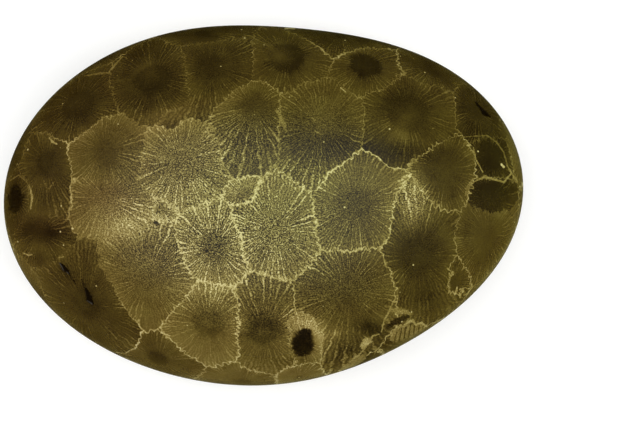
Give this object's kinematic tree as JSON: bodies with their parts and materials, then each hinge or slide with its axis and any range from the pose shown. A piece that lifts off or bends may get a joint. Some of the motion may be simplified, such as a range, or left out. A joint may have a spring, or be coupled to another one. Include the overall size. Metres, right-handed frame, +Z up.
{
  "type": "fossil coral head",
  "caption": "Palm-sized egg-shaped stone polished from a fossil colonial coral head, with a flat rest face under it.",
  "frame": {"origin": "in the flat rest face, under the middle of the stone's bounding box", "axes": "+X along the stone, towards its narrower end; +Y across it; +Z up, out of the polished crown"},
  "size_m": [0.065, 0.045, 0.025],
  "materials": {
    "polished_coral": "gloss"
  },
  "bodies": {
    "root": {"fossil_coral_stone": "polished_coral"}
  },
  "joints": []
}
